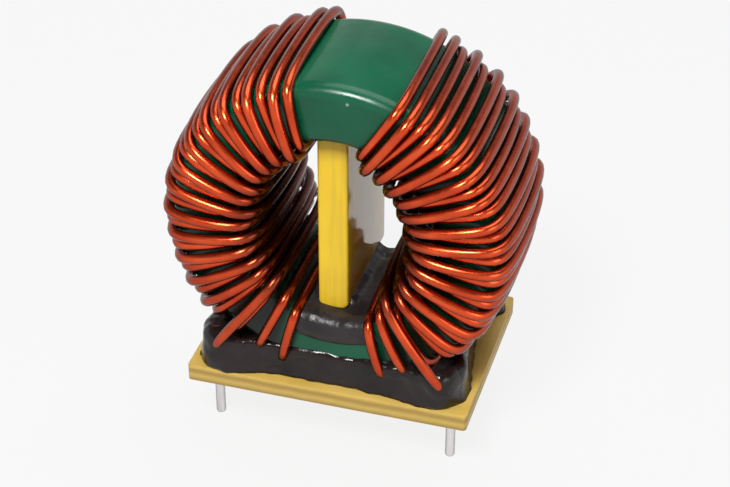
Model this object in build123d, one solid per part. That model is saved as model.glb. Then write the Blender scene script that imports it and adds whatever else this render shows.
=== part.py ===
"""Toroidal inductor: two wire windings on a coated ring core, which is potted on edge to a pinned board.

The origin is at the centre of the board's underside. X runs along the board, Y from front to back, Z up.
"""

import os
from math import cos, degrees, radians, sin, sqrt

from build123d import *

os.makedirs("parts", exist_ok=True)

# Base board
board_length = 38.1
board_depth = 27.4
board_thickness = 2.4
board_corner_radius = 0.5

# Terminal pins, one near each corner of the board
pin_diameter = 1.29
pin_shank_diameter = 1.7
pin_length_below_board = 7.9
pin_stub_above_board = 2.1
pin_tip_radius = 0.4
pin_inset_x = 2.95
pin_inset_y = 4.1
pin_hole_clearance = 0.05

# Solder joint between each pin and its lead
solder_radius = 1.1
solder_height = 2.4
solder_top_fillet = 0.4

# Coated ring core, with its axis along Y
core_outer_diameter = 42.9
core_wall = 8.2
core_length = 19.4
core_edge_radius = 1.8
core_shift_x = 0.4
core_shift_y = -1.6
core_bond_gap = 1.05

# Enamelled wire and how it lies on the core
wire_diameter = 1.36
wire_gap = 0.06
hole_stand_off = 0.1
face_stand_off = 0.37
rim_gap = 0.38
rim_bend_ease = 0.75
outer_bend_ease = 1.5
outer_rim_lean = 0.75
outer_rim_rise = 0.1
loop_bulge = 0.3

# Windings: angles are measured at the ring's axis from its top, on the rim and in the hole
left_top_angle = 14.5
right_top_angle = 23.5
bottom_angle = 161.5
left_hole_top_angle = 16.6
right_hole_top_angle = 15.5
hole_bottom_angle = 158
fewer_outer_turns = 4
uneven_step_angle = 137.5
sway_share = 0.025

# How far the turns crowd inwards in the hole, as shares of the space between two wires
nest_share = 0.8
crowd_share = 2.5
crowd_start_angle = 18
crowd_full_angle = 85
inner_crowd_shares = [0, 0.35]
outer_crowd_shares = [1, 0.7]
hole_bend_share = 0.7

# Leads between the windings and the pins
lead_lift = 0.8
lead_end_gap = 0.05
lead_reach = 2.2
lead_slant = 1.4
lead_bend_radius = 1.1
lead_knee_radius = 2.4
lead_knee_rise = 3.5
lead_knee_inset = 1.6

# Divider plate in the hole
divider_thickness = 4.0
divider_depth = 17.4
divider_set_back = 2.9
divider_shift_x = -0.78
divider_lift = 0.25
divider_clearance = 0.05
divider_edge_radius = 0.45
divider_foot_radius = 1.0

# Epoxy bead on the board
potting_height = 5.6
potting_margin_x = 1.1
potting_margin_y = 0.5
potting_front_shares = [(-0.98, -0.82), (-0.86, -0.99), (-0.5, -0.95), (0, -0.93), (0.5, -0.96), (0.81, -1)]
potting_right_shares = [(0.97, -0.85), (1, -0.52), (0.95, -0.07), (0.95, 0.3), (1, 0.68), (0.93, 0.93)]
potting_back_shares = [(0.5, 0.98), (0, 0.95), (-0.5, 0.98), (-0.92, 0.94)]
potting_left_shares = [(-0.99, 0.68), (-0.94, 0.25), (-0.94, -0.2), (-1, -0.52)]
potting_height_shares = [0, 0.6, 1]
potting_size_shares = [1, 1, 0.92]

# Epoxy film in the bottom of the hole
hole_potting_film = 0.5
hole_potting_lip = 0.6

# Places that several pieces share
pin_x = board_length / 2 - pin_inset_x
pin_y = board_depth / 2 - pin_inset_y
pin_radius = pin_diameter / 2
shank_radius = pin_shank_diameter / 2
core_outer_radius = core_outer_diameter / 2
core_inner_radius = core_outer_radius - core_wall
core_z = board_thickness + core_bond_gap + core_outer_radius
core_front = core_shift_y - core_length / 2
core_back = core_shift_y + core_length / 2
core_plane = Plane.XZ.offset(-core_back) * Pos(core_shift_x, core_z)
core_axis = Axis((core_shift_x, 0, core_z), (0, 1, 0))
hole_bottom = core_z - core_inner_radius
wire_radius = wire_diameter / 2
wire_pitch = wire_diameter + wire_gap
face_offset = wire_radius + face_stand_off
hole_offset = wire_radius + hole_stand_off
divider_x = core_shift_x + divider_shift_x
divider_front = core_front + divider_set_back
lead_z = board_thickness + wire_radius + lead_lift
lead_y = pin_y + shank_radius + lead_end_gap

# The inner turns leave gaps on the rim, in which the outer turns come back down
first_layer_radius = core_inner_radius - hole_offset
rim_strand_angle = degrees((wire_diameter + rim_gap) / (core_outer_radius + face_offset))
winding_span = bottom_angle - max(left_top_angle, right_top_angle)
inner_turns = 1 + int(winding_span / (2 * rim_strand_angle))
outer_turns = inner_turns - fewer_outer_turns
crowd_depth = crowd_share * wire_pitch
nest_depth = nest_share * wire_pitch


def base_board():
    """Laminate plate with a clearance hole for each pin."""
    plate = RectangleRounded(board_length, board_depth, board_corner_radius)
    holes = GridLocations(2 * pin_x, 2 * pin_y, 2, 2) * Circle(shank_radius + pin_hole_clearance)
    return extrude(plate - holes, amount=board_thickness)


def coated_core():
    """Ring with a rectangular section and rounded edges."""
    ring = extrude(core_plane * (Circle(core_outer_radius) - Circle(core_inner_radius)), amount=core_length)
    return fillet(ring.edges().filter_by(GeomType.CIRCLE), core_edge_radius)


def pin(x, y):
    """Round pin with a domed tip below the board, and a thicker shank through it up into the epoxy."""
    post = extrude(Pos(x, y, -pin_length_below_board) * Circle(pin_radius), amount=pin_length_below_board)
    post = fillet(post.edges().group_by(Axis.Z)[0], pin_tip_radius)
    return post + extrude(Pos(x, y) * Circle(shank_radius), amount=board_thickness + pin_stub_above_board)


def solder_joint(x, y, lead, post):
    """Solder that stands on the board around a pin's top and the end of its lead."""
    blob = extrude(Pos(x, y, board_thickness) * Circle(solder_radius), amount=solder_height)
    blob = fillet(blob.edges().group_by(Axis.Z)[-1], solder_top_fillet)
    return largest_solid(blob - post - lead)


def largest_solid(shape):
    """The main body of a cut shape, without crumbs."""
    return max(shape.solids(), key=lambda solid: solid.volume)


def on_ring(side, angle, radius, y):
    """Point at an angle from the ring's top, on the left (-1) or right (1) side."""
    turn = radians(angle)
    return (core_shift_x + side * radius * sin(turn), y, core_z + radius * cos(turn))


def uneven(index):
    """Hand-wound unevenness of a turn, from -1 to 1."""
    return sin(radians(index * uneven_step_angle))


def crowding(angle):
    """How crowded the hole is at an angle, from 0 near the ring's top to 1."""
    ramp = (angle - crowd_start_angle) / (crowd_full_angle - crowd_start_angle)
    return sin(radians(90 * min(max(ramp, 0), 1))) ** 2


def inner_turn(hole_place, rim_place, index, climb):
    """Corners of a turn that lies on the core, with the bend radius at each."""
    depth = inner_crowd_shares[index % 2] * crowd_depth * crowding(rim_place[1])
    hole_radius = first_layer_radius - depth
    rim_radius = core_outer_radius + face_offset
    hole_bend = core_edge_radius + hole_offset + hole_bend_share * depth
    rim_bend = core_edge_radius + face_offset + rim_bend_ease
    front = core_front - face_offset
    back = core_back + face_offset
    return [
        (on_ring(*hole_place, hole_radius, back), hole_bend),
        (on_ring(*hole_place, hole_radius, front), hole_bend),
        (on_ring(*rim_place, rim_radius, front), rim_bend),
        (on_ring(*rim_place, rim_radius, back + climb), rim_bend),
    ]


def outer_turn(hole_place, rim_place, index):
    """Corners of a turn that lies over the inner turns, and between them on the rim."""
    share = outer_crowd_shares[index % 2]
    depth = nest_depth + share * (crowd_depth - nest_depth) * crowding(rim_place[1])
    hole_radius = first_layer_radius - depth
    rim_radius = core_outer_radius + face_offset + outer_rim_rise + loop_bulge * abs(uneven(index))
    hole_bend = core_edge_radius + hole_offset + hole_bend_share * depth
    rim_bend = core_edge_radius + face_offset + rim_bend_ease
    front = core_front - face_offset
    back = core_back + face_offset + wire_pitch
    return [
        (on_ring(*hole_place, hole_radius, back), hole_bend),
        (on_ring(*hole_place, hole_radius, front - wire_pitch), hole_bend),
        (on_ring(*rim_place, rim_radius, front - outer_rim_lean), core_edge_radius + face_offset + outer_bend_ease),
        (on_ring(*rim_place, rim_radius, back), rim_bend),
    ]


def winding_route(side, top_angle, hole_top_angle):
    """Corners and bend radii of one wire, from its back pin up the ring and back down to its front pin."""
    pitch = (bottom_angle - top_angle) / (inner_turns - 1)
    hole_pitch = (hole_bottom_angle - hole_top_angle) / (inner_turns - 1)
    riser = on_ring(side, hole_bottom_angle, first_layer_radius, core_back)
    outer_back = core_back + face_offset + wire_pitch
    outer_front = core_front - face_offset - wire_pitch
    foot_y = max(outer_back, pin_y + lead_reach - lead_slant)

    route = [
        ((side * pin_x, lead_y, lead_z), 0),
        ((side * pin_x, pin_y + lead_reach, lead_z), lead_bend_radius),
        ((riser[0], foot_y, lead_z), lead_bend_radius),
    ]
    for index in range(inner_turns):
        last = index == inner_turns - 1
        sway = 0 if last else sway_share * pitch * uneven(index)
        hole_place = (side, hole_bottom_angle - index * hole_pitch)
        rim_place = (side, bottom_angle - index * pitch + sway)
        route += inner_turn(hole_place, rim_place, index, wire_pitch if last else 0)
    for index in range(outer_turns + 1):
        step = index + 1 / 2
        hole_place = (side, hole_top_angle + step * hole_pitch)
        rim_place = (side, top_angle + (step + sway_share * uneven(index + side)) * pitch)
        route += outer_turn(hole_place, rim_place, index)
    route = route[:-2]
    route += [
        ((side * (pin_x - lead_knee_inset), outer_front, lead_z + lead_knee_rise), lead_knee_radius),
        ((side * pin_x, -pin_y - lead_reach, lead_z), lead_bend_radius),
        ((side * pin_x, -lead_y, lead_z), 0),
    ]
    return route


def winding(side, top_angle, hole_top_angle):
    """One continuous wire: spaced inner turns up the ring, then outer turns back down between them."""
    route = winding_route(side, top_angle, hole_top_angle)
    points = [point for point, bend in route]
    bends = [bend for point, bend in route[1:-1]]
    path = FilletPolyline(*points, radius=bends)
    section = Plane(origin=path @ 0, z_dir=path % 0) * Circle(wire_radius)
    return sweep(section, path=path)


def divider():
    """Insulating plate that stands on the epoxy and reaches the top of the hole."""
    far_corner = divider_thickness / 2 + abs(divider_shift_x)
    top = core_z + sqrt(core_inner_radius**2 - far_corner**2) - divider_clearance
    bottom = hole_bottom + divider_lift
    centre = Pos(divider_x, divider_front + divider_depth / 2, bottom)
    plate = extrude(centre * Rectangle(divider_thickness, divider_depth), amount=top - bottom)
    foot = plate.edges().filter_by(Axis.Y).group_by(Axis.Z)[0]
    plate = fillet(foot, divider_foot_radius)
    return fillet(plate.edges().filter_by(Axis.Z), divider_edge_radius)


def base_potting(buried):
    """Epoxy bead on the board, moulded round everything that stands in it."""
    half_length = board_length / 2 - potting_margin_x
    half_depth = board_depth / 2 - potting_margin_y
    outline_shares = potting_front_shares + potting_right_shares + potting_back_shares + potting_left_shares
    levels = []
    for height_share, size_share in zip(potting_height_shares, potting_size_shares):
        level = board_thickness + height_share * potting_height
        points = [(x * half_length * size_share, y * half_depth * size_share) for x, y in outline_shares]
        levels.append(Pos(0, 0, level) * make_face(Spline(*points, periodic=True)))
    bead = loft(levels)
    for piece in buried:
        bead = bead - piece
    return largest_solid(bead)


def hole_potting(buried):
    """Epoxy film over the bottom of the hole and its front edge, up to the lowest turns and round the divider."""
    half_width = first_layer_radius * sin(radians(hole_bottom_angle))
    film_radius = core_inner_radius - hole_potting_film
    face_radius = core_inner_radius + core_edge_radius
    lip_radius = face_radius + hole_potting_lip
    edge_y = core_front + core_edge_radius
    end_y = core_back - core_edge_radius
    profile = make_face([
        Line((core_inner_radius, end_y), (core_inner_radius, edge_y)),
        CenterArc((face_radius, edge_y), core_edge_radius, 180, 90),
        Line((face_radius, core_front), (lip_radius, core_front)),
        Line((lip_radius, core_front), (face_radius, core_front - hole_potting_film)),
        CenterArc((face_radius, edge_y), core_edge_radius + hole_potting_film, 180, 90),
        Line((film_radius, edge_y), (film_radius, end_y)),
        Line((film_radius, end_y), (core_inner_radius, end_y)),
    ])
    down = Plane(origin=core_axis.position, x_dir=(0, 0, -1), z_dir=(1, 0, 0))
    film = revolve(down * profile, axis=core_axis)
    strip = extrude(Pos(core_shift_x, 0) * Rectangle(2 * half_width, 2 * core_outer_diameter), amount=core_z)
    film = film & strip
    for piece in buried:
        film = film - piece
    return largest_solid(film)


board = base_board()
core = coated_core()
windings = {
    "left": winding(-1, left_top_angle, left_hole_top_angle),
    "right": winding(1, right_top_angle, right_hole_top_angle),
}
plate = divider()
nodes = {
    "base_board": board,
    "coated_core": core,
    "left_winding": windings["left"],
    "right_winding": windings["right"],
    "divider": plate,
    "hole_potting": hole_potting([plate, windings["left"], windings["right"]]),
}
buried = [core, windings["left"], windings["right"]]
for row, y in (("front", -pin_y), ("back", pin_y)):
    for end, x in (("left", -pin_x), ("right", pin_x)):
        post = pin(x, y)
        joint = solder_joint(x, y, windings[end], post)
        nodes[f"pin_{row}_{end}"] = post
        nodes[f"solder_{row}_{end}"] = joint
        buried += [post, joint]
nodes["base_potting"] = base_potting(buried)

for name, shape in nodes.items():
    export_step(shape, f"parts/{name}.step")
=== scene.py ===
"""Looks of a toroidal inductor: two enamelled windings on a green ring, potted on edge to a pinned board.

All sizes are in metres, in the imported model's frame: X along the board, Y from front to back, Z up.
"""

import logging
import math
from dataclasses import dataclass
from enum import Enum

import bmesh
import bpy
from bmesh.types import BMesh
from bpy.types import Material, Node, NodeSocket, NodeTree, Object
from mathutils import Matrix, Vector, noise

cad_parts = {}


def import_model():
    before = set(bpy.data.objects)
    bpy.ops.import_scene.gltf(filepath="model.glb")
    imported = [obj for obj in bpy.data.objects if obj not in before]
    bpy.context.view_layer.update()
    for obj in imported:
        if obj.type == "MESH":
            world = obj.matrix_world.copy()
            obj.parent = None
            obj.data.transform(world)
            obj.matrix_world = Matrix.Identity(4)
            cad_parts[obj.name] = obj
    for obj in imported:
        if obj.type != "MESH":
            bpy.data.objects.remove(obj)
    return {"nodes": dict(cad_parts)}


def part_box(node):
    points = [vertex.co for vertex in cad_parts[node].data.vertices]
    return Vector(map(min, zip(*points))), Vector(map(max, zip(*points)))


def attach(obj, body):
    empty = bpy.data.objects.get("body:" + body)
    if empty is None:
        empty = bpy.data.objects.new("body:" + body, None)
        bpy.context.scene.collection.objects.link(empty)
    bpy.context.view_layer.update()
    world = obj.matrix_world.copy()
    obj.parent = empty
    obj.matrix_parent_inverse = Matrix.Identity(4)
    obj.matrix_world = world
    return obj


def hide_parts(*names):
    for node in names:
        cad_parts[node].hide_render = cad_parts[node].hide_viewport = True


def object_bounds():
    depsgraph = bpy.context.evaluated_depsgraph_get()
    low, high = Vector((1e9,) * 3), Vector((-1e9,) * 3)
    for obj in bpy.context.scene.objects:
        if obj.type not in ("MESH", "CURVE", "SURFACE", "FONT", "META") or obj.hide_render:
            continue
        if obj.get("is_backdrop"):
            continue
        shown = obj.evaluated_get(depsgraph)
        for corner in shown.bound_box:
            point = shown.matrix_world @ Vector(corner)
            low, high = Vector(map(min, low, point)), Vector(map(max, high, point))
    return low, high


MM = 0.001
BODY = "root"
LOG = logging.getLogger("inductor")
QUARTER_TURN = 90.0
HALF_TURN = 180.0

Triple = tuple[float, float, float]


class Side(Enum):
    """Half of the ring that a winding lies on."""

    LEFT = -1
    RIGHT = 1


class Slot(Enum):
    """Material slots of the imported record."""

    LAMINATE = "laminate"
    GREEN_COAT = "green_coat"
    ENAMELLED_WIRE = "enamelled_wire"
    YELLOW_DIVIDER = "yellow_divider"
    DARK_EPOXY = "dark_epoxy"
    TINNED_PIN = "tinned_pin"
    SOLDER = "solder"


class NodeBench:
    """Adds, sets and links nodes in one node tree."""

    def __init__(self, tree: NodeTree) -> None:
        """Keeps the tree that the nodes go into."""
        self.tree = tree

    def add(self, kind: str, values: dict[str, object] | None = None, **settings: object) -> Node:
        """Adds one node.

        Args:
            kind: Type name of the node.
            values: Input sockets to set, by name.
            **settings: Properties of the node to set.

        Returns:
            The new node.
        """
        node = self.tree.nodes.new(kind)
        for name, value in settings.items():
            setattr(node, name, value)
        for name, value in (values or {}).items():
            node.inputs[name].default_value = value
        return node

    def join(self, source: NodeSocket, target: NodeSocket) -> None:
        """Links an output socket to an input socket."""
        self.tree.links.new(source, target)

    def put(self, value: NodeSocket | float | Triple, target: NodeSocket) -> None:
        """Links a socket, or sets a number or a colour, on an input socket."""
        if isinstance(value, NodeSocket):
            self.join(value, target)
        else:
            target.default_value = (*value, 1.0) if isinstance(value, tuple) else value

    def effect(self, group: NodeTree, vector: NodeSocket, **values: float) -> NodeSocket:
        """Places a shared effect.

        Args:
            group: Node group of the effect.
            vector: Coordinates that the effect follows.
            **values: The effect's other inputs, by name.

        Returns:
            The effect's output socket.
        """
        node = self.add("ShaderNodeGroup", values, node_tree=group)
        self.join(vector, node.inputs["Vector"])
        return node.outputs[0]

    def ramp(
        self, value: NodeSocket, start: float, end: float, low: float = 0.0, high: float = 1.0
    ) -> NodeSocket:
        """Maps a value from the range start to end onto low to high.

        Args:
            value: Socket to map.
            start: Value that becomes low.
            end: Value that becomes high.
            low: Result at start.
            high: Result at end.

        Returns:
            The mapped value.
        """
        limits = {"From Min": start, "From Max": end, "To Min": low, "To Max": high}
        node = self.add("ShaderNodeMapRange", limits)
        self.join(value, node.inputs["Value"])
        return node.outputs["Result"]

    def maths(self, operation: str, first: NodeSocket, second: NodeSocket | float) -> NodeSocket:
        """Combines two values.

        Args:
            operation: Name of the operation.
            first: First value.
            second: Second value, a socket or a number.

        Returns:
            The result, kept between 0 and 1.
        """
        node = self.add("ShaderNodeMath", operation=operation, use_clamp=True)
        self.join(first, node.inputs[0])
        self.put(second, node.inputs[1])
        return node.outputs[0]

    def blend(
        self,
        share: NodeSocket,
        first: NodeSocket | Triple,
        second: NodeSocket | Triple,
        kind: str = "RGBA",
    ) -> NodeSocket:
        """Mixes two colours or values.

        Args:
            share: Share of the second one.
            first: First one, a socket or a colour.
            second: Second one, a socket or a colour.
            kind: Data type, RGBA or FLOAT.

        Returns:
            The mixture.
        """
        node = self.add("ShaderNodeMix", data_type=kind)
        sockets = [socket for socket in node.inputs if socket.enabled]
        for value, socket in zip((share, first, second), sockets):
            self.put(value, socket)
        return next(socket for socket in node.outputs if socket.enabled)

    def axis(self, vector: NodeSocket, name: str) -> NodeSocket:
        """One part, X, Y or Z, of a vector."""
        node = self.add("ShaderNodeSeparateXYZ")
        self.join(vector, node.inputs["Vector"])
        return node.outputs[name]

    def grazing(self, blend: float) -> NodeSocket:
        """How far the surface turns away from the eye, from 0 to 1.

        Args:
            blend: How early the turn counts.

        Returns:
            The value.
        """
        return self.add("ShaderNodeLayerWeight", {"Blend": blend}).outputs["Facing"]

    def bump(self, height: NodeSocket, distance: float, strength: float) -> NodeSocket:
        """Turns a height into a surface normal.

        Args:
            height: Height from 0 to 1.
            distance: Height of 1, in metres.
            strength: Strength of the relief.

        Returns:
            The normal.
        """
        node = self.add("ShaderNodeBump", {"Distance": distance, "Strength": strength})
        self.join(height, node.inputs["Height"])
        return node.outputs["Normal"]


class Effects:
    """Shared surface effects as shader node groups, each built once."""

    @staticmethod
    def _group(
        name: str, inputs: dict[str, float], output: str
    ) -> tuple[NodeBench, dict[str, NodeSocket], NodeSocket]:
        """Makes an empty group.

        Args:
            name: Name of the group.
            inputs: Number inputs with their defaults.
            output: Name of the output.

        Returns:
            The group's bench, its input sockets by name and its output socket.
        """
        tree = bpy.data.node_groups.new(name, "ShaderNodeTree")
        tree.interface.new_socket("Vector", in_out="INPUT", socket_type="NodeSocketVector")
        for label, default in inputs.items():
            socket = tree.interface.new_socket(label, in_out="INPUT", socket_type="NodeSocketFloat")
            socket.default_value = default
        tree.interface.new_socket(output, in_out="OUTPUT", socket_type="NodeSocketFloat")
        bench = NodeBench(tree)
        entry = bench.add("NodeGroupInput")
        leave = bench.add("NodeGroupOutput")
        return bench, entry.outputs, leave.inputs[0]

    @classmethod
    def _clouds(
        cls, name: str, grain: dict[str, float], spread: tuple[float, float], scale: float, along: float
    ) -> NodeTree:
        """Noise between two values.

        Args:
            name: Name of the group.
            grain: Settings of the noise.
            spread: Range of the noise that is stretched over the two values.
            scale: Default scale.
            along: Scale along Z. Below 1 it draws the noise out into lines.

        Returns:
            The group.
        """
        bench, given, result = cls._group(name, {"Scale": scale, "Low": 0.0, "High": 1.0}, "Value")
        squeeze = bench.add("ShaderNodeMapping", {"Scale": (1.0, 1.0, along)})
        bench.join(given["Vector"], squeeze.inputs["Vector"])
        cloud = bench.add("ShaderNodeTexNoise", grain)
        bench.join(squeeze.outputs["Vector"], cloud.inputs["Vector"])
        bench.join(given["Scale"], cloud.inputs["Scale"])
        stretch = bench.add("ShaderNodeMapRange", {"From Min": spread[0], "From Max": spread[1]})
        bench.join(cloud.outputs["Fac"], stretch.inputs["Value"])
        bench.join(given["Low"], stretch.inputs["To Min"])
        bench.join(given["High"], stretch.inputs["To Max"])
        bench.join(stretch.outputs["Result"], result)
        return bench.tree

    @classmethod
    def mottle(cls) -> NodeTree:
        """Soft cloudy variation between two values."""
        grain = {"Detail": 4.0, "Roughness": 0.55}
        return cls._clouds("mottle", grain, spread=(0.3, 0.7), scale=300.0, along=1.0)

    @classmethod
    def streaks(cls) -> NodeTree:
        """Fine lines that run along Z, between two values."""
        grain = {"Detail": 3.0, "Roughness": 0.6}
        return cls._clouds("streaks", grain, spread=(0.32, 0.68), scale=900.0, along=0.06)

    @classmethod
    def specks(cls) -> NodeTree:
        """Small scattered round marks, 1 at their middle and 0 outside."""
        inputs = {"Scale": 800.0, "Size": 0.25, "Share": 0.2}
        bench, given, result = cls._group("specks", inputs, "Mask")
        cells = bench.add("ShaderNodeTexVoronoi", {"Randomness": 1.0})
        bench.join(given["Vector"], cells.inputs["Vector"])
        bench.join(given["Scale"], cells.inputs["Scale"])
        dot = bench.add("ShaderNodeMapRange", {"From Min": 0.0, "To Min": 1.0, "To Max": 0.0})
        bench.join(cells.outputs["Distance"], dot.inputs["Value"])
        bench.join(given["Size"], dot.inputs["From Max"])
        split = bench.add("ShaderNodeSeparateColor")
        bench.join(cells.outputs["Color"], split.inputs["Color"])
        chosen = bench.maths("LESS_THAN", split.outputs["Red"], given["Share"])
        bench.join(bench.maths("MULTIPLY", dot.outputs["Result"], chosen), result)
        return bench.tree


@dataclass(frozen=True)
class EffectSet:
    """The shared effects that the finishes place."""

    mottle: NodeTree
    specks: NodeTree
    streaks: NodeTree

    @classmethod
    def made(cls) -> "EffectSet":
        """Builds each effect once."""
        return cls(Effects.mottle(), Effects.specks(), Effects.streaks())


@dataclass(frozen=True)
class Surface:
    """A new material's shader, with what a finish needs to fill it in."""

    bench: NodeBench
    shader: Node
    place: NodeSocket
    effects: EffectSet

    def fix(self, **values: float) -> None:
        """Sets constant inputs of the shader, named with underscores for spaces."""
        for label, value in values.items():
            self.shader.inputs[label.replace("_", " ")].default_value = value

    def give(self, name: str, source: NodeSocket) -> None:
        """Links a value to an input of the shader."""
        self.bench.join(source, self.shader.inputs[name])

    def mottle(self, scale: float, low: float = 0.0, high: float = 1.0) -> NodeSocket:
        """Soft clouds between two values."""
        return self.bench.effect(self.effects.mottle, self.place, Scale=scale, Low=low, High=high)

    def streaks(self, scale: float, low: float = 0.0, high: float = 1.0) -> NodeSocket:
        """Fine upright lines between two values."""
        return self.bench.effect(self.effects.streaks, self.place, Scale=scale, Low=low, High=high)

    def specks(self, scale: float, size: float, share: float) -> NodeSocket:
        """Scattered round marks, on a share of the cells."""
        return self.bench.effect(self.effects.specks, self.place, Scale=scale, Size=size, Share=share)


@dataclass(frozen=True)
class Finish:
    """Common ground of all finishes."""

    name: str

    def paint(self, surface: Surface) -> None:
        """Fills in a surface. Each finish has its own way."""
        raise NotImplementedError

    def material(self, effects: EffectSet) -> Material:
        """Builds the material, on object coordinates.

        Args:
            effects: The shared effects.

        Returns:
            The material.
        """
        material = bpy.data.materials.new(self.name)
        material.use_nodes = True
        material.node_tree.nodes.clear()
        bench = NodeBench(material.node_tree)
        shader = bench.add("ShaderNodeBsdfPrincipled")
        leave = bench.add("ShaderNodeOutputMaterial")
        bench.join(shader.outputs["BSDF"], leave.inputs["Surface"])
        place = bench.add("ShaderNodeTexCoord").outputs["Object"]
        self.paint(Surface(bench, shader, place, effects))
        return material


@dataclass(frozen=True)
class EnamelFinish(Finish):
    """Clear red-brown enamel over copper, with painted shade along the sides of each wire that turn away
    from the eye and on the turns in the hole.
    """

    name: str = "enamelled copper"
    centre_x: float = 0.0
    centre_z: float = 0.0
    deep: Triple = (0.50, 0.046, 0.011)
    bright: Triple = (0.82, 0.105, 0.028)
    # Painted shade: the enamel darkens along the sides of each wire that turn away from the eye.
    edge: Triple = (0.035, 0.004, 0.002)
    shade_turn_blend: float = 0.4
    shade_turn_start: float = 0.12
    shade_turn_full: float = 0.72
    # Painted shade: the turns in the hole darken towards the ring's axis.
    painted_shade: Triple = (0.045, 0.009, 0.005)
    hole_shade_share: float = 0.92
    hole_shade_radius: float = 9.4 * MM
    hole_shade_end_radius: float = 14.2 * MM

    def paint(self, surface: Surface) -> None:
        """Fills in a surface."""
        surface.fix(Metallic=0.95, Coat_Weight=0.12, Coat_Roughness=0.07, Coat_IOR=1.5)
        bench = surface.bench
        lacquer = bench.blend(surface.mottle(scale=160.0), self.deep, self.bright)
        # Painted shade along each wire's turned-away sides.
        turned_away_shade = bench.ramp(bench.grazing(self.shade_turn_blend), self.shade_turn_start, self.shade_turn_full)
        rounded = bench.blend(turned_away_shade, lacquer, self.edge)
        # Painted shade on the turns in the hole, by distance from the ring's axis.
        flat = bench.add("ShaderNodeVectorMath", operation="MULTIPLY")
        flat.inputs[1].default_value = (1.0, 0.0, 1.0)
        bench.join(surface.place, flat.inputs[0])
        reach = bench.add("ShaderNodeVectorMath", operation="DISTANCE")
        reach.inputs[1].default_value = (self.centre_x, 0.0, self.centre_z)
        bench.join(flat.outputs["Vector"], reach.inputs[0])
        radius = reach.outputs["Value"]
        hole_shade = bench.ramp(radius, self.hole_shade_radius, self.hole_shade_end_radius, self.hole_shade_share, 0.0)
        surface.give("Base Color", bench.blend(hole_shade, rounded, self.painted_shade))
        surface.give("Roughness", surface.mottle(scale=700.0, low=0.2, high=0.32))


@dataclass(frozen=True)
class GreenCoatFinish(Finish):
    """Green semi-gloss coat of the core with a fine orange peel, with painted shade low on the ring's left
    and right, under the windings.
    """

    name: str = "green coat"
    centre_x: float = 0.0
    deep: Triple = (0.001, 0.068, 0.029)
    light: Triple = (0.0015, 0.100, 0.045)
    dust: Triple = (0.35, 0.5, 0.42)
    # Painted shade: darker low on the ring's left and right, under the windings.
    painted_shade_tint: Triple = (0.005, 0.005, 0.0035)
    painted_shade_share: float = 0.9
    painted_shade_inside: float = 5.0 * MM
    painted_shade_outside: float = 8.0 * MM
    painted_shade_low: float = 12.0 * MM
    painted_shade_high: float = 19.0 * MM

    def paint(self, surface: Surface) -> None:
        """Fills in a surface."""
        surface.fix(IOR=1.52, Specular_IOR_Level=0.3)
        bench = surface.bench
        coat = bench.blend(surface.mottle(scale=110.0), self.deep, self.light)
        dusty = bench.blend(surface.specks(scale=420.0, size=0.12, share=0.05), coat, self.dust)
        # Painted shade, strongest low down and away from the ring's middle.
        across, height = (bench.axis(surface.place, name) for name in "XZ")
        middle, inside, outside = self.centre_x, self.painted_shade_inside, self.painted_shade_outside
        left = bench.ramp(across, middle - outside, middle - inside, 1.0, 0.0)
        right = bench.ramp(across, middle + inside, middle + outside)
        low = bench.ramp(height, self.painted_shade_low, self.painted_shade_high, self.painted_shade_share, 0.0)
        painted_shade = bench.maths("MULTIPLY", bench.maths("MAXIMUM", left, right), low)
        surface.give("Base Color", bench.blend(painted_shade, dusty, self.painted_shade_tint))
        surface.give("Roughness", surface.mottle(scale=240.0, low=0.16, high=0.28))
        peel = bench.bump(surface.mottle(scale=850.0), distance=0.02 * MM, strength=0.35)
        surface.give("Normal", peel)


@dataclass(frozen=True)
class LaminateFinish(Finish):
    """Amber glass-fibre laminate: faint weave on its faces, plies on its cut edges."""

    name: str = "glass-fibre laminate"
    low: float = 0.0
    high: float = 0.0
    pale: Triple = (0.64, 0.44, 0.105)
    amber: Triple = (0.53, 0.34, 0.058)
    ply: Triple = (0.40, 0.25, 0.055)
    ply_spacing: float = 0.8 * MM
    wave_periods: float = 20.0
    weave_spacing: float = 0.45 * MM
    weave_cell: float = 0.5
    rim: float = 0.05 * MM

    def paint(self, surface: Surface) -> None:
        """Fills in a surface."""
        bench, place = surface.bench, surface.place
        height = bench.axis(place, "Z")
        above = bench.ramp(height, self.low + self.rim, self.low + 2 * self.rim)
        below = bench.ramp(height, self.high - 2 * self.rim, self.high - self.rim, 1.0, 0.0)
        edge = bench.maths("MULTIPLY", above, below)

        face = bench.blend(surface.mottle(scale=190.0), self.amber, self.pale)
        grain = {"Distortion": 0.5, "Detail": 2.0, "Detail Scale": 2.0}
        plies = bench.add("ShaderNodeTexWave", grain, bands_direction="Z")
        plies.inputs["Scale"].default_value = 1.0 / (self.ply_spacing * self.wave_periods) * math.pi
        bench.join(place, plies.inputs["Vector"])
        cut = bench.blend(plies.outputs["Fac"], self.ply, self.pale)
        surface.give("Base Color", bench.blend(edge, face, cut))

        cell = self.weave_cell
        threads = {"Mortar Size": 0.02, "Brick Width": cell, "Row Height": cell}
        weave = bench.add("ShaderNodeTexBrick", threads)
        weave.inputs["Scale"].default_value = cell / self.weave_spacing
        bench.join(place, weave.inputs["Vector"])
        relief = bench.maths("MULTIPLY", weave.outputs["Fac"], surface.mottle(scale=1500.0))
        surface.give("Normal", bench.bump(relief, distance=0.015 * MM, strength=0.4))
        surface.give("Roughness", surface.mottle(scale=500.0, low=0.42, high=0.6))


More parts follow.
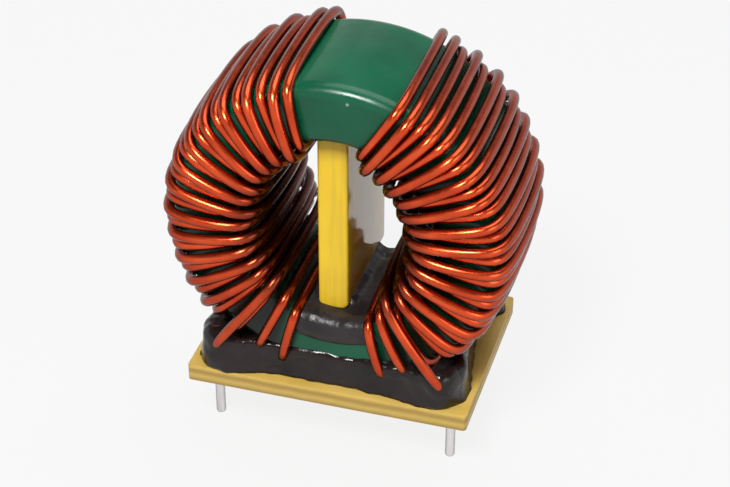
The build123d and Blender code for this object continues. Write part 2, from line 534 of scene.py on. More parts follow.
@dataclass(frozen=True)
class EpoxyFinish(Finish):
    """Black-brown potting epoxy with dull patches, pits and bubbles."""

    name: str = "dark epoxy"
    black: Triple = (0.006, 0.0045, 0.004)
    brown: Triple = (0.020, 0.013, 0.012)
    smooth: float = 0.05
    rough: float = 0.24

    @classmethod
    def satin(cls) -> "EpoxyFinish":
        """The duller, greyer epoxy in the hole."""
        return cls("satin epoxy", (0.012, 0.0095, 0.010), (0.028, 0.022, 0.023), smooth=0.22, rough=0.46)

    def paint(self, surface: Surface) -> None:
        """Fills in a surface."""
        surface.fix(IOR=1.55, Specular_IOR_Level=0.26)
        bench = surface.bench
        surface.give("Base Color", bench.blend(surface.mottle(scale=260.0), self.black, self.brown))
        surface.give("Roughness", surface.mottle(scale=420.0, low=self.smooth, high=self.rough))
        pits = surface.specks(scale=650.0, size=0.3, share=0.12)
        relief = bench.maths("SUBTRACT", surface.mottle(scale=600.0), pits)
        surface.give("Normal", bench.bump(relief, distance=0.08 * MM, strength=0.6))


@dataclass(frozen=True)
class YellowFinish(Finish):
    """Yellow insulating plate: satin front with faint smudges, varnished sides with brush marks."""

    name: str = "yellow divider"
    left: float = 0.0
    right: float = 0.0
    yellow: Triple = (0.95, 0.64, 0.022)
    shade: Triple = (0.84, 0.53, 0.02)
    smudge: Triple = (0.52, 0.36, 0.03)
    smudge_share: float = 0.45
    skin: float = 0.06 * MM

    def paint(self, surface: Surface) -> None:
        """Fills in a surface."""
        surface.fix(IOR=1.52)
        bench = surface.bench
        across = bench.axis(surface.place, "X")
        right = bench.ramp(across, self.right - 2 * self.skin, self.right - self.skin)
        left = bench.ramp(across, self.left + self.skin, self.left + 2 * self.skin, 1.0, 0.0)
        side = bench.maths("MAXIMUM", right, left)

        plain = bench.blend(surface.mottle(scale=130.0), self.yellow, self.shade)
        marks = surface.streaks(scale=420.0, low=-1.6, high=0.8)
        faint = bench.maths("MULTIPLY", marks, self.smudge_share)
        surface.give("Base Color", bench.blend(faint, plain, self.smudge))

        satin = surface.mottle(scale=350.0, low=0.34, high=0.46)
        varnish = surface.streaks(scale=1500.0, low=0.04, high=0.12)
        surface.give("Roughness", bench.blend(side, satin, varnish, "FLOAT"))
        brush = bench.bump(surface.streaks(scale=900.0), distance=0.012 * MM, strength=0.25)
        surface.give("Normal", brush)


@dataclass(frozen=True)
class TinFinish(Finish):
    """Tinned metal, satin with fine draw marks, with painted shade on its rims where they turn away from the
    eye.
    """

    name: str = "tinned pin"
    pale: Triple = (0.83, 0.80, 0.79)
    grey: Triple = (0.62, 0.60, 0.60)
    # Painted shade: dark rims where the metal turns away from the eye.
    edge: Triple = (0.16, 0.14, 0.14)
    smooth: float = 0.2
    rough: float = 0.38
    shade_turn_blend: float = 0.4
    shade_turn_start: float = 0.3
    shade_turn_full: float = 0.8

    @classmethod
    def solder(cls) -> "TinFinish":
        """The duller metal of the solder joints."""
        return cls("solder", (0.72,) * 3, (0.5,) * 3, (0.2,) * 3, smooth=0.28, rough=0.45)

    def paint(self, surface: Surface) -> None:
        """Fills in a surface."""
        surface.fix(Metallic=1.0)
        bench = surface.bench
        tin = bench.blend(surface.streaks(scale=1800.0), self.pale, self.grey)
        # Painted shade on the rims that turn away from the eye.
        turned_away_shade = bench.ramp(bench.grazing(self.shade_turn_blend), self.shade_turn_start, self.shade_turn_full)
        surface.give("Base Color", bench.blend(turned_away_shade, tin, self.edge))
        surface.give("Roughness", surface.mottle(scale=900.0, low=self.smooth, high=self.rough))


@dataclass(frozen=True)
class RingForm:
    """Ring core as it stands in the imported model."""

    centre_x: float
    centre_z: float
    front: float
    back: float
    outer_radius: float
    inner_radius: float

    @classmethod
    def measured(cls, mesh: bpy.types.Mesh) -> "RingForm":
        """Reads the ring's sizes from its mesh.

        Args:
            mesh: Mesh of the core's node.

        Returns:
            The ring's form.
        """
        low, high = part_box("coated_core")
        centre = (low + high) / 2
        reach = [math.hypot(v.co.x - centre.x, v.co.z - centre.z) for v in mesh.vertices]
        return cls(centre.x, centre.z, low.y, high.y, max(reach), min(reach))

    def place(self, side: Side, angle: float, radius: float, y: float) -> Vector:
        """Point at an angle from the ring's top.

        Args:
            side: Half of the ring.
            angle: Angle from the top, in degrees.
            radius: Distance from the ring's axis.
            y: Place along the ring's axis.

        Returns:
            The point.
        """
        turn = math.radians(angle)
        across = side.value * radius * math.sin(turn)
        return Vector((self.centre_x + across, y, self.centre_z + radius * math.cos(turn)))


class Piece:
    """Finishing steps that every new piece shares."""

    MERGE = 0.002 * MM

    @staticmethod
    def from_bmesh(name: str, shape: BMesh) -> Object:
        """Turns a bmesh into an object at the origin.

        Args:
            name: Name of the piece.
            shape: The bmesh, which is freed.

        Returns:
            The object.
        """
        mesh = bpy.data.meshes.new(name)
        shape.to_mesh(mesh)
        shape.free()
        made = bpy.data.objects.new(name, mesh)
        bpy.context.scene.collection.objects.link(made)
        return made

    @classmethod
    def merged_copy(cls, node: Object) -> BMesh:
        """Copies a CAD node's mesh and merges its loose triangles.

        Args:
            node: The CAD node.

        Returns:
            The merged copy.
        """
        shape = bmesh.new()
        shape.from_mesh(node.data)
        bmesh.ops.remove_doubles(shape, verts=shape.verts, dist=cls.MERGE)
        bmesh.ops.recalc_face_normals(shape, faces=shape.faces)
        return shape

    @staticmethod
    def smooth_shade(shape: BMesh, sharpest: float) -> None:
        """Shades faces smoothly, apart from edges sharper than an angle in degrees."""
        for face in shape.faces:
            face.smooth = True
        for edge in shape.edges:
            edge.smooth = edge.calc_face_angle(0.0) < math.radians(sharpest)

    @classmethod
    def smooth_copy(cls, node: Object, name: str, sharpest: float) -> Object:
        """Copies a CAD node as a smoothly shaded piece.

        Args:
            node: The CAD node.
            name: Name of the piece.
            sharpest: Angle in degrees from which edges stay sharp.

        Returns:
            The piece, not yet dressed.
        """
        shape = cls.merged_copy(node)
        cls.smooth_shade(shape, sharpest)
        return cls.from_bmesh(name, shape)

    @staticmethod
    def ripple(shape: BMesh, height: float, length: float, shift: Vector) -> None:
        """Moves the skin in and out in soft waves.

        Args:
            shape: The skin.
            height: Most that a point moves.
            length: Length of a wave.
            shift: Moves the pattern.
        """
        shape.normal_update()
        moves = [v.normal * noise.noise((v.co + shift) / length) * height for v in shape.verts]
        for vertex, move in zip(shape.verts, moves):
            vertex.co += move

    @staticmethod
    def dress(made: Object, material: Material, slot: Slot, *nodes: str) -> Object:
        """Gives a piece its finish and its body, and hides the CAD nodes that it stands for.

        Args:
            made: The piece.
            material: Its finish.
            slot: Its slot in the record. Not used.
            *nodes: CAD nodes that it replaces.

        Returns:
            The piece.
        """
        made.data.materials.clear()
        made.data.materials.append(material)
        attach(made, BODY)
        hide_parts(*nodes)
        LOG.info("%s: %d faces", made.name, len(made.data.polygons))
        return made


@dataclass
class Board:
    """Laminate board with softened cut edges."""

    node: Object
    edge_break: float = 0.07 * MM
    edge_segments: int = 2
    flat_angle: float = 1.0
    sharp_angle: float = 30.0

    def build(self, effects: EffectSet) -> Object:
        """Builds and dresses the board."""
        shape = Piece.merged_copy(self.node)
        flat, sharp = math.radians(self.flat_angle), math.radians(self.sharp_angle)
        bmesh.ops.dissolve_limit(shape, angle_limit=flat, verts=shape.verts, edges=shape.edges)
        bmesh.ops.bevel(
            shape,
            geom=[edge for edge in shape.edges if edge.calc_face_angle(0.0) > sharp],
            offset=self.edge_break,
            affect="EDGES",
            segments=self.edge_segments,
            profile=0.5,
            material=-1,
        )
        Piece.smooth_shade(shape, self.sharp_angle)
        low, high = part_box(self.node.name)
        finish = LaminateFinish(low=low.z, high=high.z).material(effects)
        return Piece.dress(Piece.from_bmesh("board", shape), finish, Slot.LAMINATE, self.node.name)


@dataclass
class Core:
    """Green coated ring."""

    node: Object
    sharp_angle: float = 50.0

    def build(self, effects: EffectSet) -> Object:
        """Builds and dresses the ring."""
        made = Piece.smooth_copy(self.node, "ring_core", self.sharp_angle)
        low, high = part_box(self.node.name)
        finish = GreenCoatFinish(centre_x=((low + high) / 2).x).material(effects)
        return Piece.dress(made, finish, Slot.GREEN_COAT, self.node.name)


@dataclass(frozen=True)
class WireLay:
    """How the enamelled wire lies on the ring. Angles are in degrees from the ring's top."""

    diameter: float = 1.36 * MM
    gap: float = 0.06 * MM
    hole_stand_off: float = 0.1 * MM
    face_stand_off: float = 0.37 * MM
    edge_radius: float = 1.8 * MM
    outer_shift: float = 0.5
    bottom_angle: float = 161.5
    hole_bottom_angle: float = 158.0
    inner_turns: int = 16
    outer_turns: int = 12
    uneven_step: float = 137.5
    sway: float = 0.025
    crowd: float = 2.5
    crowd_start: float = 18.0
    crowd_full: float = 85.0
    hole_bend: float = 0.7
    lead_lift: float = 0.8 * MM
    lead_reach: float = 2.2 * MM
    lead_slant: float = 1.4 * MM
    lead_bend: float = 1.1 * MM
    knee_radius: float = 2.4 * MM
    knee_rise: float = 3.5 * MM
    knee_inset: float = 1.6 * MM
    corner_pull: float = 0.54
    longest_pull: float = 0.45
    sides: int = 20
    steps: int = 6
    spline_order: int = 4
    merge: float = 0.001 * MM
    sharp_angle: float = 60.0

    @property
    def pitch(self) -> float:
        """Distance between wires that lie side by side."""
        return self.diameter + self.gap

    @property
    def face_offset(self) -> float:
        """Distance of an inner turn's middle from the ring's outside and faces."""
        return self.diameter / 2 + self.face_stand_off

    @property
    def hole_offset(self) -> float:
        """Distance of an inner turn's middle from the hole's wall."""
        return self.diameter / 2 + self.hole_stand_off

    def uneven(self, index: int) -> float:
        """Hand-wound unevenness of a turn, from -1 to 1."""
        return math.sin(math.radians(index * self.uneven_step))

    def crowding(self, angle: float) -> float:
        """How crowded the hole is at an angle, from 0 near the ring's top to 1."""
        ramp = (angle - self.crowd_start) / (self.crowd_full - self.crowd_start)
        return math.sin(math.radians(QUARTER_TURN * min(max(ramp, 0.0), 1.0))) ** 2


@dataclass(frozen=True)
class Corner:
    """Corner of a wire's route."""

    point: Vector
    bend: float


@dataclass(frozen=True)
class Layer:
    """How a layer of turns lies. Lift and nest are in pitches, over the core's faces and in its hole."""

    crowd: tuple[float, float]
    front_ease: float
    back_ease: float = 0.75 * MM
    lift: float = 0.0
    nest: float = 0.0
    lean: float = 0.0
    rise: float = 0.0
    bulge: float = 0.0


INNER = Layer(crowd=(0.0, 0.35), front_ease=0.75 * MM)
OUTER = Layer(
    crowd=(1.0, 0.7), front_ease=1.5 * MM, lift=1.0, nest=0.8, lean=0.75 * MM, rise=0.1 * MM, bulge=0.3 * MM
)


@dataclass(frozen=True)
class TopAngles:
    """Where a winding's highest turn lies, in degrees from the ring's top."""

    rim: float
    hole: float


WINDING_TOPS = {Side.LEFT: TopAngles(rim=14.5, hole=16.6), Side.RIGHT: TopAngles(rim=23.5, hole=15.5)}


@dataclass
class Winding:
    """One continuous wire: spaced inner turns up the ring, then outer turns back down between them."""

    side: Side
    top: TopAngles
    ring: RingForm
    lay: WireLay

    @property
    def side_name(self) -> str:
        """Name of the winding's side, as the nodes have it."""
        return self.side.name.lower()

    def _turn(self, layer: Layer, hole: float, rim: float, index: int, climb: float = 0.0) -> list[Corner]:
        """Corners of a turn.

        Args:
            layer: The layer that it lies in.
            hole: Angle of the run in the hole.
            rim: Angle of the run on the outside.
            index: Number of the turn in its layer.
            climb: How far the wire moves out at the back of its run on the outside.

        Returns:
            The corners, from the back of the hole to the back of the outside.
        """
        lay, ring, side = self.lay, self.ring, self.side
        nest, lift = layer.nest * lay.pitch, layer.lift * lay.pitch
        depth = nest + layer.crowd[index % 2] * (lay.crowd * lay.pitch - nest) * lay.crowding(rim)
        rise = layer.rise + layer.bulge * abs(lay.uneven(index))
        hole_radius = ring.inner_radius - lay.hole_offset - depth
        rim_radius = ring.outer_radius + lay.face_offset + rise
        hole_bend = lay.edge_radius + lay.hole_offset + lay.hole_bend * depth
        bend = lay.edge_radius + lay.face_offset
        front, back = ring.front - lay.face_offset, ring.back + lay.face_offset + lift
        return [
            Corner(ring.place(side, hole, hole_radius, back), hole_bend),
            Corner(ring.place(side, hole, hole_radius, front - lift), hole_bend),
            Corner(ring.place(side, rim, rim_radius, front - layer.lean), bend + layer.front_ease),
            Corner(ring.place(side, rim, rim_radius, back + climb), bend + layer.back_ease),
        ]

    def _turns(self) -> list[Corner]:
        """Corners of all turns, up to where the wire leaves the hole for its front pin."""
        lay = self.lay
        steps = lay.inner_turns - 1
        pitch = (lay.bottom_angle - self.top.rim) / steps
        hole_pitch = (lay.hole_bottom_angle - self.top.hole) / steps
        corners: list[Corner] = []
        for index in range(lay.inner_turns):
            last = index == steps
            sway = 0.0 if last else lay.sway * pitch * lay.uneven(index)
            hole = lay.hole_bottom_angle - index * hole_pitch
            rim = lay.bottom_angle - index * pitch + sway
            corners += self._turn(INNER, hole, rim, index, lay.pitch if last else 0.0)
        for index in range(lay.outer_turns + 1):
            step = index + lay.outer_shift
            sway = lay.sway * lay.uneven(index + self.side.value)
            hole = self.top.hole + step * hole_pitch
            corners += self._turn(OUTER, hole, self.top.rim + (step + sway) * pitch, index)
        return corners[:-2]

    def _route(self) -> list[Corner]:
        """Corners of the whole wire, from its back pin to its front pin."""
        lay, ring = self.lay, self.ring
        front_low, front_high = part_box(f"pin_front_{self.side_name}")
        back_low, back_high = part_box(f"pin_back_{self.side_name}")
        pin_x = (front_low.x + front_high.x) / 2
        front_y = (front_low.y + front_high.y) / 2
        back_y = (back_low.y + back_high.y) / 2
        lead_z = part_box("base_board")[1].z + lay.diameter / 2 + lay.lead_lift
        outer_front = ring.front - lay.face_offset - lay.pitch
        outer_back = ring.back + lay.face_offset + lay.pitch
        first_radius = ring.inner_radius - lay.hole_offset
        riser = ring.place(self.side, lay.hole_bottom_angle, first_radius, ring.back)
        foot_y = max(outer_back, back_y + lay.lead_reach - lay.lead_slant)
        knee_x = pin_x - self.side.value * lay.knee_inset
        return [
            Corner(Vector((pin_x, back_high.y, lead_z)), 0.0),
            Corner(Vector((pin_x, back_y + lay.lead_reach, lead_z)), lay.lead_bend),
            Corner(Vector((riser.x, foot_y, lead_z)), lay.lead_bend),
            *self._turns(),
            Corner(Vector((knee_x, outer_front, lead_z + lay.knee_rise)), lay.knee_radius),
            Corner(Vector((pin_x, front_y - lay.lead_reach, lead_z)), lay.lead_bend),
            Corner(Vector((pin_x, front_low.y, lead_z)), 0.0),
        ]

    def _guide(self) -> list[Vector]:
        """Guide points that bend the wire smoothly round its corners."""
        route = self._route()
        points = [route[0].point]
        for before, here, after in zip(route, route[1:], route[2:]):
            for other in (before, after):
                away = other.point - here.point
                pull = min(self.lay.corner_pull * here.bend, self.lay.longest_pull * away.length)
                points.append(here.point + pull * away.normalized())
        return [*points, route[-1].point]

    def build(self, material: Material) -> Object:
        """Builds and dresses the wire.

        Args:
            material: The enamel.

        Returns:
            The wire.
        """
        lay, points = self.lay, self._guide()
        line = bpy.data.curves.new("wire_line", "CURVE")
        line.dimensions = "3D"
        line.bevel_depth = lay.diameter / 2
        line.bevel_resolution = (lay.sides - 4) // 2
        line.use_fill_caps = True
        spline = line.splines.new("NURBS")
        spline.points.add(len(points) - 1)
        for target, point in zip(spline.points, points):
            target.co = (*point, 1.0)
        spline.order_u = lay.spline_order
        spline.use_endpoint_u = True
        spline.resolution_u = lay.steps
        holder = bpy.data.objects.new("wire_line", line)
        bpy.context.scene.collection.objects.link(holder)
        done = holder.evaluated_get(bpy.context.evaluated_depsgraph_get())
        shape = bmesh.new()
        shape.from_mesh(done.to_mesh())
        done.to_mesh_clear()
        bpy.data.objects.remove(holder)
        bpy.data.curves.remove(line)
        bmesh.ops.remove_doubles(shape, verts=shape.verts, dist=lay.merge)
        bmesh.ops.recalc_face_normals(shape, faces=shape.faces)
        Piece.smooth_shade(shape, lay.sharp_angle)
        made = Piece.from_bmesh(f"{self.side_name}_wire", shape)
        return Piece.dress(made, material, Slot.ENAMELLED_WIRE, f"{self.side_name}_winding")


@dataclass
class Divider:
    """Yellow plate that stands in the hole between the windings."""

    node: Object
    sharp_angle: float = 40.0

    def build(self, effects: EffectSet) -> Object:
        """Builds and dresses the plate."""
        made = Piece.smooth_copy(self.node, "divider_plate", self.sharp_angle)
        low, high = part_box(self.node.name)
        finish = YellowFinish(left=low.x, right=high.x).material(effects)
        return Piece.dress(made, finish, Slot.YELLOW_DIVIDER, self.node.name)


@dataclass(frozen=True)
class Wave:
    """Soft unevenness of a poured surface."""

    height: float
    length: float


@dataclass
class Bead:
    """Epoxy bead poured round the ring's foot. Its outline and lead dives are in millimetres."""

    node: Object
    outline: tuple[tuple[float, float], ...] = (
        (-17.8, -10.6), (-16.9, -12.3), (-15.2, -13.1), (-12.6, -13.2), (-9.3, -12.3), (-6.0, -11.9),
        (-1.5, -11.8), (3.0, -11.9), (7.2, -12.3), (10.2, -12.6), (12.8, -13.1), (15.2, -12.8),
        (17.0, -11.4), (17.9, -9.3), (17.6, -6.8), (16.7, -2.0), (15.9, 3.6), (15.7, 7.0), (17.0, 8.2),
        (18.1, 10.2), (16.4, 12.5), (8.0, 12.8), (0.0, 12.5), (-9.0, 12.8), (-16.4, 12.4), (-17.9, 9.0),
        (-16.5, 4.0), (-16.2, -2.0), (-17.9, -6.4), (-17.6, -7.8), (-17.9, -9.2),
    )
    samples: int = 12
    levels: int = 24
    inner_rings: int = 20
    round_width: float = 1.15 * MM
    side_fall: float = 0.5 * MM
    middle_dip: float = 1.1 * MM
    lean: float = 0.1 * MM
    foot_flare: float = 0.45 * MM
    flare_fall: float = 6.0
    drip: float = 0.7
    drip_length: float = 1.6 * MM
    lead_dives: tuple[Triple, ...] = (
        (-14.8, -12.6, 6.6), (-15.4, -12.6, 4.4), (15.2, -12.6, 6.6), (15.9, -12.4, 4.2)
    )
    collar_height: float = 0.7 * MM
    collar_reach: float = 2.0 * MM
    waves: tuple[Wave, ...] = (
        Wave(0.28 * MM, 4.0 * MM), Wave(0.16 * MM, 1.7 * MM), Wave(0.05 * MM, 0.6 * MM)
    )
    wave_shift: Triple = (3.0 * MM, 1.0 * MM, 0.0)
    sharp_angle: float = 180.0

    def _edge(self) -> list[Vector]:
        """Outline as a smooth closed line, a Catmull-Rom spline."""
        marks = [Vector((x * MM, y * MM, 0.0)) for x, y in self.outline]
        count = len(marks)
        line = []
        for index in range(count):
            a, b, c, d = (marks[(index + k) % count] for k in (-1, 0, 1, 2))
            square, cube = 2 * a - 5 * b + 4 * c - d, 3 * b - a - 3 * c + d
            for part in range(self.samples):
                t = part / self.samples
                line.append(0.5 * (2 * b + (c - a) * t + square * t**2 + cube * t**3))
        return line

    def _rings(self) -> list[list[Vector]]:
        """Closed lines from the foot of the bead over its rounded shoulder to its middle."""
        low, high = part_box(self.node.name)
        edge = self._edge()
        count = len(edge)
        inward = []
        for index in range(count):
            along = (edge[(index + 1) % count] - edge[index - 1]).normalized()
            inward.append(Vector((-along.y, along.x, 0.0)))
        reach = max(abs(low.x), abs(high.x))
        heights, flares = [], []
        for point in edge:
            flares.append(self.foot_flare * (1.0 + self.drip * noise.noise(point / self.drip_length)))
            out = point.x / reach
            fall = self.side_fall * max(out, 0.0) ** 2 + self.middle_dip * (1.0 - out**2)
            heights.append(high.z - low.z - fall)
        rings = []
        for level in range(self.levels + 1):
            share = 2.0 * level / self.levels
            turn = math.radians(QUARTER_TURN * max(share - 1.0, 0.0))
            ring = []
            for point, inner, height, flare in zip(edge, inward, heights, flares):
                rise = (height - self.round_width) * min(share, 1.0) + self.round_width * math.sin(turn)
                part = rise / height
                inset = self.round_width * (1.0 - math.cos(turn)) + self.lean * part
                inset -= flare * math.exp(-self.flare_fall * part)
                ring.append(point + inner * inset + Vector((0.0, 0.0, low.z + rise)))
            rings.append(ring)
        shoulder = rings[-1]
        middle = sum(shoulder, Vector()) / count
        for step in range(1, self.inner_rings):
            share = step / self.inner_rings
            rings.append([point.lerp(middle, share) for point in shoulder])
        return rings

    def _collars(self, shape: BMesh) -> None:
        """Raises the epoxy where the leads dive into it.

        Args:
            shape: The bead.
        """
        shape.normal_update()
        for dive in self.lead_dives:
            place = Vector(dive) * MM
            moves = []
            for vertex in shape.verts:
                nearness = (vertex.co - place).length / self.collar_reach
                moves.append(vertex.normal * self.collar_height * math.exp(-(nearness**2)))
            for vertex, move in zip(shape.verts, moves):
                vertex.co += move

    def build(self, material: Material) -> Object:
        """Builds and dresses the bead.

        Args:
            material: The epoxy.

        Returns:
            The bead.
        """
        shape = bmesh.new()
        rings = [[shape.verts.new(point) for point in ring] for ring in self._rings()]
        for outer, inner in zip(rings, rings[1:]):
            for index in range(len(outer)):
                shape.faces.new((outer[index - 1], outer[index], inner[index], inner[index - 1]))
        shape.faces.new(rings[-1])
        shape.faces.new(list(reversed(rings[0])))
        bmesh.ops.recalc_face_normals(shape, faces=shape.faces)
        foot = [(vertex, vertex.co.copy()) for vertex in rings[0]]
        for wave in self.waves:
            Piece.ripple(shape, wave.height, wave.length, Vector(self.wave_shift))
        self._collars(shape)
        for vertex, place in foot:
            vertex.co = place
        floor = rings[0][0].co.z
        for vertex in shape.verts:
            vertex.co.z = max(vertex.co.z, floor)
        bmesh.ops.recalc_face_normals(shape, faces=shape.faces)
        Piece.smooth_shade(shape, self.sharp_angle)
        made = Piece.from_bmesh("epoxy_bead", shape)
        return Piece.dress(made, material, Slot.DARK_EPOXY, self.node.name)


@dataclass(frozen=True)
class BedRow:
    """Point of the section that the film lies on, the way out of the core there, and a thickness share."""

    radius: float
    y: float
    across: float
    along: float
    share: float = 1.0


@dataclass
class Bed:
    """Epoxy film over the bottom of the hole and its front edge, thicker round the divider's foot."""

    node: str
    ring: RingForm
    edge_radius: float = 1.8 * MM
    film: float = 0.5 * MM
    sunk: float = 0.1 * MM
    lip: float = 1.3 * MM
    half_angle: float = 23.0
    end_taper: float = 5.0
    foot_height: float = 0.9 * MM
    foot_reach: float = 0.8 * MM
    foot_set_back: float = 1.8 * MM
    columns: int = 110
    runs: tuple[int, int, int] = (70, 20, 14)
    waves: tuple[Wave, ...] = (Wave(0.16 * MM, 2.4 * MM), Wave(0.06 * MM, 0.9 * MM))
    sharp_angle: float = 70.0

    def _profile(self) -> list[BedRow]:
        """Section of the core below the film, from the back of the hole to the film's lip."""
        ring, edge = self.ring, self.edge_radius
        start, bend = ring.back - edge, ring.front + edge
        run_steps, arc_steps, lip_steps = self.runs
        rows = []
        for step in range(run_steps):
            rows.append(BedRow(ring.inner_radius, start + (bend - start) * step / run_steps, -1.0, 0.0))
        for step in range(arc_steps):
            turn = math.radians(HALF_TURN + QUARTER_TURN * step / arc_steps)
            across, along = math.cos(turn), math.sin(turn)
            radius = ring.inner_radius + edge * (1.0 + across)
            rows.append(BedRow(radius, bend + edge * along, across, along))
        for step in range(lip_steps + 1):
            share = step / lip_steps
            radius = ring.inner_radius + edge + self.lip * share
            rows.append(BedRow(radius, ring.front, 0.0, -1.0, math.sqrt(1.0 - share)))
        return rows

    def _thickness(self, place: Vector, share: float, angle: float, plate: tuple[Vector, Vector]) -> float:
        """Thickness of the film.

        Args:
            place: Point on the core below the film.
            share: Thinning towards the film's lip.
            angle: Angle from the ring's bottom, in degrees.
            plate: Lowest and highest corner of the divider.

        Returns:
            The thickness.
        """
        low, high = plate
        aside = max(low.x - place.x, place.x - high.x, 0.0)
        ahead = max(low.y + self.foot_set_back - place.y, place.y - high.y, 0.0)
        foot = self.foot_height * math.exp(-((math.hypot(aside, ahead) / self.foot_reach) ** 2))
        swell = sum(wave.height * noise.noise(place / wave.length) for wave in self.waves)
        taper = min((self.half_angle - abs(angle)) / self.end_taper, 1.0)
        return (self.film + swell + foot) * share * math.sqrt(max(taper, 0.0))

    def build(self, material: Material) -> Object:
        """Builds and dresses the film.

        Args:
            material: The epoxy.

        Returns:
            The film.
        """
        shape = bmesh.new()
        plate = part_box("divider")
        profile = self._profile()
        upper_skin, lower_skin = [], []
        for column in range(self.columns + 1):
            angle = self.half_angle * (2.0 * column / self.columns - 1.0)
            turn = math.radians(angle)
            radial = Vector((math.sin(turn), 0.0, -math.cos(turn)))
            upper, lower = [], []
            for row in profile:
                place = Vector((self.ring.centre_x, row.y, self.ring.centre_z)) + radial * row.radius
                out = radial * row.across + Vector((0.0, row.along, 0.0))
                thickness = self._thickness(place, row.share, angle, plate)
                upper.append(shape.verts.new(place + out * thickness))
                lower.append(shape.verts.new(place - out * self.sunk))
            upper_skin.append(upper)
            lower_skin.append(lower)
        for skin in (upper_skin, lower_skin):
            for left, right in zip(skin, skin[1:]):
                for row in range(len(profile) - 1):
                    shape.faces.new((left[row], right[row], right[row + 1], left[row + 1]))
        border = [edge for edge in shape.edges if edge.is_boundary]
        bmesh.ops.bridge_loops(shape, edges=border)
        bmesh.ops.recalc_face_normals(shape, faces=shape.faces)
        Piece.smooth_shade(shape, self.sharp_angle)
        return Piece.dress(Piece.from_bmesh("epoxy_bed", shape), material, Slot.DARK_EPOXY, self.node)


@dataclass
class Terminals:
    """Four tinned pins and the solder joints at their tops."""

    nodes: dict[str, Object]
    sharp_angle: float = 50.0

    def build(self, effects: EffectSet) -> None:
        """Builds and dresses the pins and joints."""
        tin, solder = (finish.material(effects) for finish in (TinFinish(), TinFinish.solder()))
        kinds = (("pin_", "terminal_", tin, Slot.TINNED_PIN), ("solder_", "joint_", solder, Slot.SOLDER))
        for start, new_start, finish, slot in kinds:
            for name in sorted(n for n in self.nodes if n.startswith(start)):
                new_name = name.replace(start, new_start)
                made = Piece.smooth_copy(self.nodes[name], new_name, self.sharp_angle)
                Piece.dress(made, finish, slot, name)


@dataclass(frozen=True)
class Viewpoint:
    """Camera that sees the object as the photograph does. Pixels are of its frame of 730 by 487."""

    azimuth: float = 16.72
    elevation: float = 34.73
    distance: float = 264.4 * MM
    target: Triple = (0.0, 0.0, 14.75 * MM)
    focal_pixels: float = 2000.0
    frame_pixels: float = 730.0
    shift_pixels: tuple[float, float] = (10.5, 11.8)
    sensor: float = 36.0
    nearest: float = 10.0 * MM

    def build(self) -> Object:
        """Makes the camera and sets it as the scene's."""
        data = bpy.data.cameras.new("camera")
        data.sensor_fit = "HORIZONTAL"
        data.sensor_width = self.sensor
        data.lens = self.sensor * self.focal_pixels / self.frame_pixels
        data.shift_x = self.shift_pixels[0] / self.frame_pixels
        data.shift_y = self.shift_pixels[1] / self.frame_pixels
        data.clip_start = self.nearest
        turn, rise = math.radians(self.azimuth), math.radians(self.elevation)
        across, forward = math.sin(turn) * math.cos(rise), -math.cos(turn) * math.cos(rise)
        back = Vector((across, forward, math.sin(rise)))
        made = bpy.data.objects.new("camera", data)
        made.location = Vector(self.target) + back * self.distance
        made.rotation_euler = (-back).to_track_quat("-Z", "Y").to_euler()
        bpy.context.scene.collection.objects.link(made)
        bpy.context.scene.camera = made
        return made


@dataclass(frozen=True)
class Lamp:
    """Soft box that faces the object."""

    name: str
    place: Triple
    size: float
    power: float
    aim: Triple = (0.0, 0.0, 20.0 * MM)

    def build(self) -> Object:
        """Makes the lamp."""
        data = bpy.data.lights.new(self.name, "AREA")
        data.shape = "SQUARE"
        data.size = self.size
        data.energy = self.power
        made = bpy.data.objects.new(self.name, data)
        made.location = self.place
        toward = Vector(self.aim) - Vector(self.place)
        made.rotation_euler = toward.to_track_quat("-Z", "Y").to_euler()
        bpy.context.scene.collection.objects.link(made)
        return made


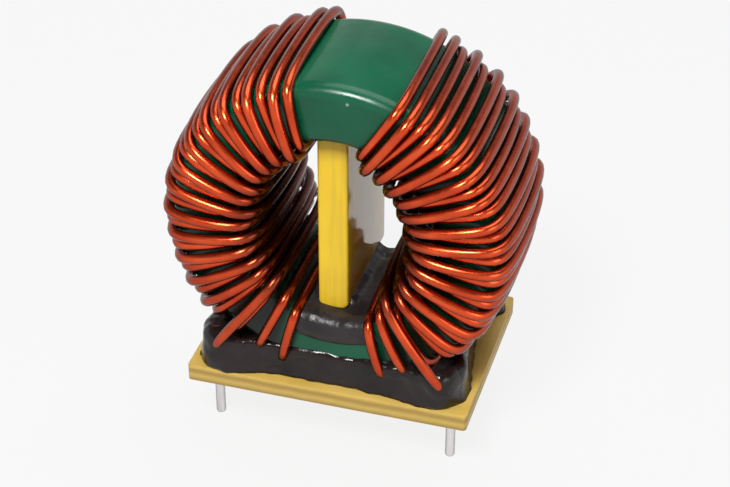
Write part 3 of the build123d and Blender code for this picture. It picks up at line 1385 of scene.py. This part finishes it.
@dataclass(frozen=True)
class Studio:
    """Pale floor, soft boxes and even surroundings."""

    floor_size: float = 6.0
    ambient: float = 0.14
    ceiling: float = 0.16
    ceiling_start: float = 0.25
    ceiling_full: float = 0.6
    floor_grey: float = 0.4
    floor_lift: float = 0.86
    lamps: tuple[Lamp, ...] = (
        Lamp("key", (-0.05, -0.42, 0.6), size=0.2, power=5.6),
        Lamp("overhead", (0.05, 0.25, 0.75), size=0.6, power=3.4),
        Lamp("right_fill", (0.6, -0.25, 0.3), size=0.35, power=0.9),
    )

    @staticmethod
    def _seen(bench: NodeBench) -> NodeSocket:
        """1 for rays that show the surroundings, 0 for those that only carry light."""
        path = bench.add("ShaderNodeLightPath")
        shown = bench.maths("MAXIMUM", path.outputs["Is Camera Ray"], path.outputs["Is Glossy Ray"])
        return bench.maths("MAXIMUM", shown, path.outputs["Is Transmission Ray"])

    @staticmethod
    def _mixed(bench: NodeBench, share: NodeSocket, first: Node, second: Node, leave: str) -> None:
        """Mixes two shaders into an output.

        Args:
            bench: Bench of the node tree.
            share: Share of the second shader.
            first: First shader.
            second: Second shader.
            leave: Type name of the output node.
        """
        mix = bench.add("ShaderNodeMixShader")
        for source, target in zip((share, first.outputs[0], second.outputs[0]), mix.inputs):
            bench.join(source, target)
        bench.join(mix.outputs[0], bench.add(leave).inputs["Surface"])

    def _floor(self, height: float) -> None:
        """Makes the floor that the pins stand on.

        Args:
            height: Height of the floor.
        """
        shape = bmesh.new()
        bmesh.ops.create_grid(shape, x_segments=1, y_segments=1, size=self.floor_size / 2)
        bmesh.ops.translate(shape, verts=shape.verts, vec=(0.0, 0.0, height))
        floor = Piece.from_bmesh("floor", shape)
        material = bpy.data.materials.new("pale floor")
        material.use_nodes = True
        material.node_tree.nodes.clear()
        bench = NodeBench(material.node_tree)
        lit = bench.add("ShaderNodeBsdfDiffuse", {"Color": (self.floor_grey,) * 3 + (1.0,)})
        white = bench.add("ShaderNodeEmission", {"Strength": 1.0})
        share = bench.maths("MULTIPLY", self._seen(bench), self.floor_lift)
        self._mixed(bench, share, lit, white, "ShaderNodeOutputMaterial")
        floor.data.materials.append(material)
        floor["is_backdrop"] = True

    def _surroundings(self) -> None:
        """Makes the even light, the white backdrop and the dimmer ceiling."""
        world = bpy.data.worlds.new("studio")
        world.use_nodes = True
        world.node_tree.nodes.clear()
        bench = NodeBench(world.node_tree)
        white = (1.0, 1.0, 1.0, 1.0)
        light = bench.add("ShaderNodeBackground", {"Color": white, "Strength": self.ambient})
        backdrop = bench.add("ShaderNodeBackground", {"Color": white})
        height = bench.axis(bench.add("ShaderNodeTexCoord").outputs["Generated"], "Z")
        fade = bench.ramp(height, self.ceiling_start, self.ceiling_full, 1.0, self.ceiling)
        bench.join(fade, backdrop.inputs["Strength"])
        self._mixed(bench, self._seen(bench), light, backdrop, "ShaderNodeOutputWorld")
        bpy.context.scene.world = world

    def build(self, floor_height: float) -> None:
        """Builds the floor, the lamps and the surroundings.

        Args:
            floor_height: Height of the surface that the object stands on.
        """
        self._floor(floor_height)
        self._surroundings()
        for lamp in self.lamps:
            lamp.build()
        bpy.context.scene.view_settings.view_transform = "Standard"


def main() -> None:
    """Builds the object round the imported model."""
    logging.basicConfig(level=logging.INFO, format="%(name)s: %(message)s")
    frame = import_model()
    cad_low, cad_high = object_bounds()
    nodes = frame["nodes"]
    effects = EffectSet.made()
    ring = RingForm.measured(nodes["coated_core"].data)
    enamel = EnamelFinish(centre_x=ring.centre_x, centre_z=ring.centre_z).material(effects)
    Board(nodes["base_board"]).build(effects)
    Core(nodes["coated_core"]).build(effects)
    for side, top in WINDING_TOPS.items():
        Winding(side, top, ring, WireLay()).build(enamel)
    Divider(nodes["divider"]).build(effects)
    Bead(nodes["base_potting"]).build(EpoxyFinish().material(effects))
    Bed("hole_potting", ring).build(EpoxyFinish.satin().material(effects))
    Terminals(nodes).build(effects)
    Viewpoint().build()
    Studio().build(cad_low.z)


if __name__ == "__main__":
    main()
